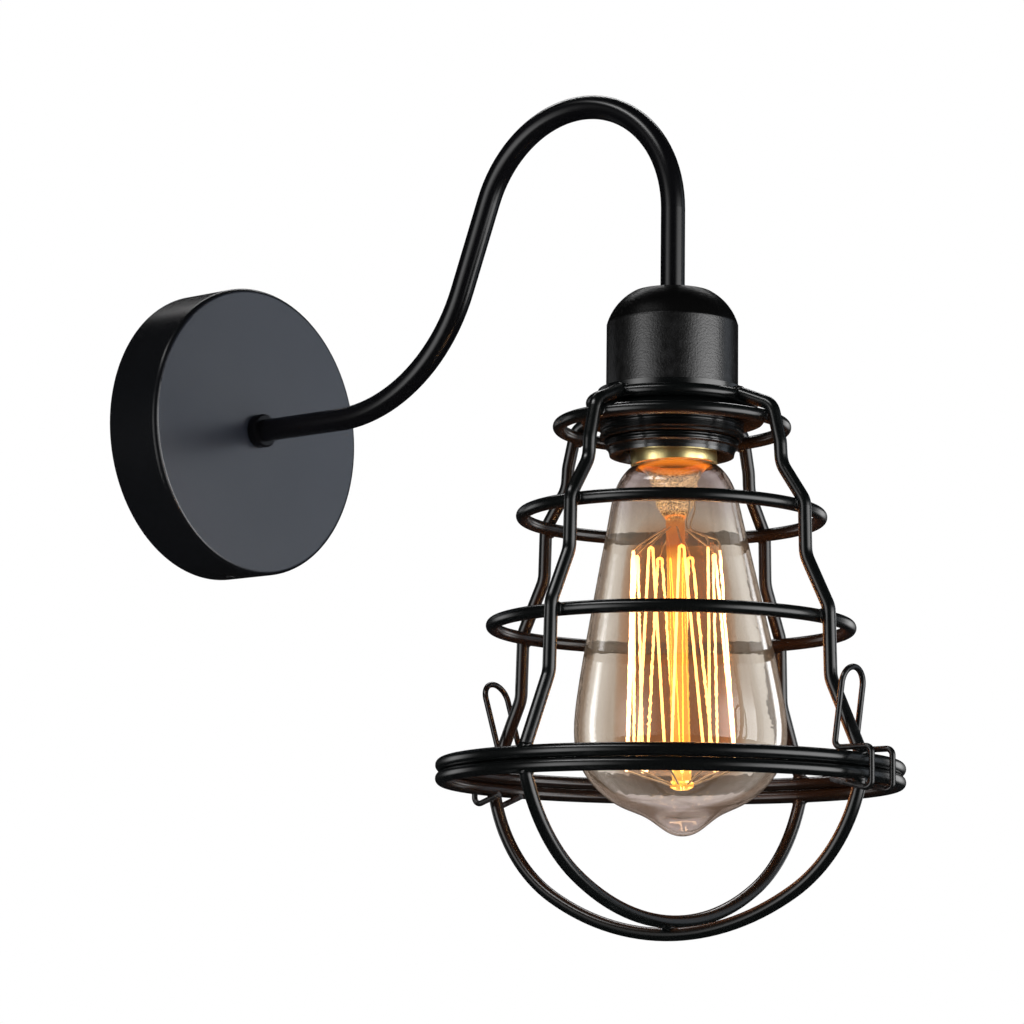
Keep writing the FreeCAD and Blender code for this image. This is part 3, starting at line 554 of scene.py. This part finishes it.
hook_wire = metal("hook_wire", colour(0.66, 0.60, 0.52), colour(0.34, 0.27, 0.20), 0.35, tarnish=0.8)
# The bulb's colour is painted light and shade by slant: brownish face-on, a pale painted sheen part way
# out and painted shade at its outline, with a faint painted glow on the glass.
bulb_tint_and_painted_light = glass("bulb_smoked_glass", [
    (0.06, colour(0.58, 0.52, 0.45)), (0.28, colour(0.62, 0.57, 0.52)), (0.38, colour(0.84, 0.83, 0.81)),
    (0.46, colour(0.96, 0.96, 0.94)), (0.56, colour(0.92, 0.91, 0.88)), (0.63, colour(0.30, 0.22, 0.16)),
    (1.0, colour(0.14, 0.09, 0.07)),
], neck_smoke, caught_light, glow_strength=0.03)
# The stem's glass carries a painted glow, orange at its foot, and is painted a little darker at its
# outline.
stem_tint_and_painted_glow = glass("stem_glass", [
    (0.2, colour(0.98, 0.97, 0.96)), (1.0, colour(0.84, 0.80, 0.74)),
], stem_stain, stem_painted_glow, glow_strength=1.1, wave_depth=0.00003, roughness=0.02)
filament_glow = glowing("filament_glow", filament_heat, 12.0, colour(1.0, 0.62, 0.28))
basket_painted_glow = painted_glow_skin("basket_painted_glow", colour(0.66, 0.38, 0.18), colour(1.0, 0.45, 0.12), 0.06)

finishes = {
    "wall_canopy": plate_paint, "arm_tube": arm_paint, "arm_collar": arm_paint,
    "lampholder_cup": cup_paint, "lampholder_body": holder_black, "shade_ring": holder_black,
    "cage_collar": cage_paint, "front_clip": clip_paint, "rear_clip": clip_paint,
    "lampholder_core": core_white, "terminal_block": nylon, "live_lead": brown_skin,
    "neutral_lead": blue_skin, "earth_lead": green_skin, "mounting_bracket": zinc,
    "canopy_set_screws": zinc, "terminal_screws": zinc, "arm_lock_washer": zinc, "arm_lock_nut": zinc,
    "cup_lock_nut": zinc, "holder_clamp_screws": zinc, "earth_screw": brass, "earth_tag": brass,
    "terminal_sleeves": brass, "screw_shell": brass, "centre_contact": brass, "holder_clamps": brass,
    "bulb_cap": cap_brass, "bulb_contact": solder, "bulb_cap_insulator": bead_glass,
    "bulb_glass": bulb_tint_and_painted_light, "bulb_stem": stem_tint_and_painted_glow, "bulb_lead_wires": hook_wire,
    "filament_supports": hook_wire, "filament": filament_glow,
}
for wire_node in cage_rings + uprights + guard_wires:
    finishes[wire_node] = cage_paint


def finish_nodes():
    """Gives every piece of the model its finish."""
    for node, piece in frame["nodes"].items():
        piece.data.materials.clear()
        piece.data.materials.append(finishes[node])


# ---- weld beads -------------------------------------------------------------------------------

def bead(name, place, outward, sizes, body):
    """A small lumpy bead of weld. sizes are its half lengths: outward, sideways and up."""
    mesh = bpy.data.meshes.new(name)
    form = bmesh.new()
    bmesh.ops.create_icosphere(form, subdivisions=4, radius=1.0)
    sideways = UP.cross(outward).normalized()
    turn = Matrix((outward, sideways, outward.cross(sideways))).transposed()
    seed = place * 1000
    for vertex in form.verts:
        lumps = 0.16 * noise.noise(vertex.co * 1.3 + seed)
        ripples = 0.05 * noise.noise(vertex.co * 4.0 + seed)
        swollen = vertex.co * (1.0 + lumps + ripples)
        local = Vector([c * size for c, size in zip(swollen, sizes)])
        vertex.co = place + turn @ local
    form.to_mesh(mesh)
    form.free()
    mesh.shade_smooth()
    mesh.materials.append(cage_paint)
    piece = bpy.data.objects.new(name, mesh)
    scene.collection.objects.link(piece)
    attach(piece, body)


def in_wires(*sizes):
    """Sizes given in radii of the cage's wire."""
    return tuple(wire_radius * size for size in sizes)


def cage_welds():
    """One bead where each upright wire crosses each ring, and one at each end on the rim."""
    for ring in cage_rings:
        radius, height = ring_line(ring)
        for side, azimuth in cage_sides:
            if ring == "cage_rim_ring":
                place = on_lamp(radius, height + wire_radius * 0.85, azimuth)
                sizes = in_wires(1.10, 1.22, 0.62)
            elif ring == "cage_top_ring":
                place = on_lamp(radius + wire_radius * 0.3, height + wire_radius * 0.9, azimuth)
                sizes = in_wires(0.9, 1.15, 0.5)
            else:
                place = on_lamp(radius + wire_radius * 0.93, height, azimuth)
                sizes = in_wires(0.50, 1.18, 1.12)
            bead(f"weld_{ring.removeprefix('cage_')}_{side}", place, outward_at(azimuth), sizes, "root")


weld_inset = 0.0003             # the beads under the guard ring sit this far inside its centre line


def guard_welds():
    """The beads under the guard ring at the ends of both hoops, and the one where the hoops cross."""
    radius, height = ring_line("guard_ring")
    for side, azimuth in cage_sides:
        place = on_lamp(radius - weld_inset, height - wire_radius * 0.95, azimuth)
        bead(f"weld_guard_{side}", place, outward_at(azimuth), in_wires(1.15, 1.18, 0.45), "guard")
    crossing = on_lamp(0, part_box("guard_bow_sides")[0].z + wire_radius * 0.12, 0)
    bead("weld_guard_crossing", crossing, Vector((1, 0, 0)), in_wires(1.1, 1.1, 0.5), "guard")


# ---- the glow in the bulb ---------------------------------------------------------------------

def glowing_strands():
    """The filament as the eye meets it: each hot wire looks wider than it is."""
    cold = frame["nodes"]["filament"].data
    mesh = cold.copy()
    mesh.name = "glowing_strands"
    flare = 0.00008
    for place, vertex in zip(cold.vertices, mesh.vertices):
        vertex.co = place.co + place.normal * flare
    mesh.materials.clear()
    mesh.materials.append(filament_glow)
    strands = bpy.data.objects.new("glowing_strands", mesh)
    scene.collection.objects.link(strands)
    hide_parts("filament")
    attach(strands, "root")


def strand_painted_glow():
    """A soft skin of painted glow that wraps the strands."""
    radius_at_drop = [
        (0.0085, 0.0), (0.0120, 0.005), (0.0150, 0.011), (0.0165, 0.018), (0.0180, 0.031),
        (0.0195, 0.051), (0.0205, 0.071), (0.0200, 0.080), (0.0170, 0.0845),
    ]
    sides = 64
    mesh = bpy.data.meshes.new("strand_painted_glow")
    form = bmesh.new()
    loops = []
    for radius, drop in radius_at_drop:
        middle = in_bulb(glow_skin_top - drop)
        loop = []
        for k in range(sides):
            turn = 2 * math.pi * k / sides
            spoke = Vector((radius * math.cos(turn), radius * math.sin(turn), 0))
            loop.append(form.verts.new(middle + spoke))
        loops.append(loop)
    for upper, lower in zip(loops, loops[1:]):
        for k in range(sides):
            form.faces.new((upper[k], lower[k], lower[(k + 1) % sides], upper[(k + 1) % sides]))
    form.normal_update()
    form.to_mesh(mesh)
    form.free()
    mesh.shade_smooth()
    mesh.materials.append(basket_painted_glow)
    skin = bpy.data.objects.new("strand_painted_glow", mesh)
    scene.collection.objects.link(skin)
    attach(skin, "root")


# ---- camera, floor and lights -----------------------------------------------------------------

camera_place = Vector((-0.8024, -0.7985, -0.2025))
camera_heading = math.radians(-50.35)
camera_pitch = math.radians(8.98)
camera_roll = math.radians(0.76)
camera_lens = 117.17            # millimetres, on a sensor 36 mm wide

floor_height = -0.62
floor_half = 14.0               # half the floor's length and width
floor_radiance = 0.85
floor_light_height = 0.9
aim_share = 0.7                 # the soft panels aim this far out from the wall to the lamp's axis
panel_distance = 1.6            # from where they aim
watts_per_radiance = 4.0        # for one square metre of a panel
glow_drops = (0.0107, 0.0347, 0.0587)   # of the filament's three lights, below the strands' top
glow_watts = 0.65
glow_radius = 0.022


def make_camera():
    """The photograph's view, from below and to the left."""
    data = bpy.data.cameras.new("view")
    data.lens = camera_lens
    data.sensor_width = 36.0
    data.clip_start = 0.05
    data.clip_end = 50.0
    camera = bpy.data.objects.new("view", data)
    scene.collection.objects.link(camera)
    turn = (Matrix.Rotation(camera_heading, 4, "Z") @ Matrix.Rotation(math.pi / 2 + camera_pitch, 4, "X")
            @ Matrix.Rotation(camera_roll, 4, "Z"))
    camera.matrix_world = Matrix.Translation(camera_place) @ turn
    scene.camera = camera


def lit_only(light, pieces):
    """Keeps a light to some of the pieces."""
    chosen = bpy.data.collections.new("lit_by_" + light.name)
    for piece in pieces:
        chosen.objects.link(piece)
    light.light_linking.receiver_collection = chosen


def new_light(name, data):
    """A light that shows only by what it lights and by its reflection."""
    light = bpy.data.objects.new(name, data)
    scene.collection.objects.link(light)
    light.visible_camera = False
    light.visible_transmission = False
    return light


def make_floor():
    """A pale floor, far enough below that the light hangs clear of it."""
    mesh = bpy.data.meshes.new("floor")
    corners = [(-floor_half, -floor_half, floor_height), (floor_half, -floor_half, floor_height),
               (floor_half, floor_half, floor_height), (-floor_half, floor_half, floor_height)]
    mesh.from_pydata(corners, [], [(0, 1, 2, 3)])
    material, tree, output, place = blank("floor_pale")
    cloud = add(tree, "ShaderNodeTexNoise", {"Vector": place, "Scale": 3.0, "Detail": 2.0})
    tone = mixed(tree, cloud.outputs["Fac"], colour(0.86, 0.86, 0.85), colour(0.90, 0.90, 0.90))
    shader = add(tree, "ShaderNodeBsdfPrincipled", {"Base Color": tone, "Roughness": 0.9})
    tree.links.new(shader.outputs[0], output.inputs["Surface"])
    mesh.materials.append(material)
    floor = bpy.data.objects.new("floor", mesh)
    scene.collection.objects.link(floor)
    floor.visible_glossy = False
    light_the_floor(floor)


def light_the_floor(floor):
    """An even light from above that reaches the floor alone."""
    data = bpy.data.lights.new("floor_light", "AREA")
    data.size = 2 * floor_half
    data.energy = floor_radiance * watts_per_radiance * data.size ** 2
    light = new_light("floor_light", data)
    light.location = (0, 0, floor_light_height)
    light.visible_glossy = False
    lit_only(light, [floor])


def make_world():
    """White where it is seen, straight or through glass, and dim where it only lights or mirrors."""
    world = bpy.data.worlds.new("studio")
    world.use_nodes = True
    tree = world.node_tree
    tree.nodes.clear()
    path = add(tree, "ShaderNodeLightPath")
    bounced = math_node(tree, "MAXIMUM", path.outputs["Is Diffuse Ray"], path.outputs["Is Glossy Ray"])
    lighting = math_node(tree, "SUBTRACT", bounced, path.outputs["Is Transmission Ray"])
    seen = add(tree, "ShaderNodeBackground", {"Color": colour(1, 1, 1), "Strength": 1.0})
    dim = add(tree, "ShaderNodeBackground", {"Color": colour(0.92, 0.95, 1.0), "Strength": 0.012})
    surface = add(tree, "ShaderNodeMixShader", {0: lighting, 1: seen.outputs[0], 2: dim.outputs[0]})
    output = add(tree, "ShaderNodeOutputWorld")
    tree.links.new(surface.outputs[0], output.inputs["Surface"])
    scene.world = world


def faded(tree, place, edge, share):
    """0 at a panel's edge, and 1 from a share of its width inside it."""
    return add(tree, "ShaderNodeMapRange", {
        "Value": place, "From Min": edge, "From Max": abs(edge - share), "To Min": 0.0, "To Max": 1.0,
    }, interpolation_type="SMOOTHSTEP").outputs["Result"]


def softbox(name, bearing, elevation, width, height, radiance, tone=(1, 1, 1), soft=(0.5, 0.5),
            soft_ends=0.0):
    """A soft panel aimed at the light. bearing is from the camera's side, positive to its right.

    soft is the share of its width over which it fades in from its left and its right edge, and
    soft_ends the share of its height at its top and at its bottom.
    """
    turn = camera_heading + math.radians(bearing)
    level = Vector((math.sin(turn), -math.cos(turn), 0))
    rise = math.radians(elevation)
    direction = level * math.cos(rise) + UP * math.sin(rise)
    target = Vector((lamp_axis.x, lamp_axis.y * aim_share, (cad_low.z + cad_high.z) / 2))
    data = bpy.data.lights.new(name, "AREA")
    data.shape = "RECTANGLE"
    data.size = width
    data.size_y = height
    data.energy = radiance * watts_per_radiance * width * height
    data.color = tone
    data.use_nodes = True
    tree = data.node_tree
    glow = next(node for node in tree.nodes if node.type == "EMISSION")
    geometry = add(tree, "ShaderNodeNewGeometry")
    across = add(tree, "ShaderNodeSeparateXYZ", {0: geometry.outputs["Parametric"]})
    edges = [("X", 0.0, soft[0]), ("X", 1.0, soft[1]), ("Y", 0.0, soft_ends), ("Y", 1.0, soft_ends)]
    strength = 1.0
    for axis, edge, share in edges:
        if share:
            fade = faded(tree, across.outputs[axis], edge, share)
            strength = math_node(tree, "MULTIPLY", fade, strength)
    tree.links.new(strength, glow.inputs["Strength"])
    light = new_light(name, data)
    light.location = target + direction * panel_distance
    light.rotation_euler = direction.to_track_quat("Z", "Y").to_euler()
    return light


def studio_lights():
    """Two big soft panels at the sides, a cool one far right, and two strips above."""
    softbox("softbox_left", bearing=-50, elevation=-4, width=1.82, height=1.8, radiance=3.6,
            soft=(0.45, 0.65), soft_ends=0.30)
    softbox("softbox_right", bearing=54, elevation=-4, width=2.05, height=1.8, radiance=4.6,
            soft=(0.50, 0.04), soft_ends=0.30)
    softbox("panel_right", bearing=107, elevation=6, width=0.8, height=1.8, radiance=0.50,
            tone=(0.80, 0.89, 1.0), soft=(0.2, 0.3), soft_ends=0.30)
    softbox("strip_above_left", bearing=-48, elevation=50, width=1.6, height=0.40, radiance=9.0,
            soft=(0.3, 0.6), soft_ends=0.3)
    softbox("strip_above_behind", bearing=180, elevation=49, width=1.6, height=0.20, radiance=6.0,
            soft=(0.2, 0.2))


def streak_lights():
    """The two bright streaks down the sides of the bulb's glass."""
    streaks = [
        softbox("streak_left", bearing=-112, elevation=0, width=0.5, height=1.3, radiance=8.0,
                soft_ends=0.3),
        softbox("streak_right", bearing=127, elevation=0, width=0.55, height=1.3, radiance=9.0,
                soft_ends=0.3),
    ]
    for streak in streaks:
        lit_only(streak, [frame["nodes"]["bulb_glass"]])


def wire_back_lights():
    """The grey sheen on the ends of the cage's rings."""
    backs = [
        softbox("back_left", bearing=-128, elevation=0, width=1.1, height=1.0, radiance=1.3,
                soft_ends=0.3),
        softbox("back_right", bearing=138, elevation=0, width=1.0, height=1.0, radiance=1.6,
                soft_ends=0.3),
    ]
    wires = [frame["nodes"][node] for node in cage_rings + uprights + guard_wires]
    for back in backs:
        lit_only(back, wires)


def filament_lights():
    """The filament's own light on the black pieces round the bulb: three warm balls in the glass."""
    warmed = {cage_paint, clip_paint, holder_black}
    lit = [piece for piece in scene.collection.all_objects
           if {slot.material for slot in piece.material_slots} & warmed]
    for step, drop in enumerate(glow_drops):
        data = bpy.data.lights.new(f"glow_{step}", "POINT")
        data.energy = glow_watts
        data.color = (1.0, 0.32, 0.09)
        data.shadow_soft_size = glow_radius
        light = new_light(f"glow_{step}", data)
        light.location = in_bulb(strands_high.z - drop)
        lit_only(light, lit)


scene.view_settings.view_transform = "Standard"
make_camera()
finish_nodes()
cage_welds()
guard_welds()
glowing_strands()
strand_painted_glow()
make_floor()
make_world()
studio_lights()
streak_lights()
wire_back_lights()
filament_lights()
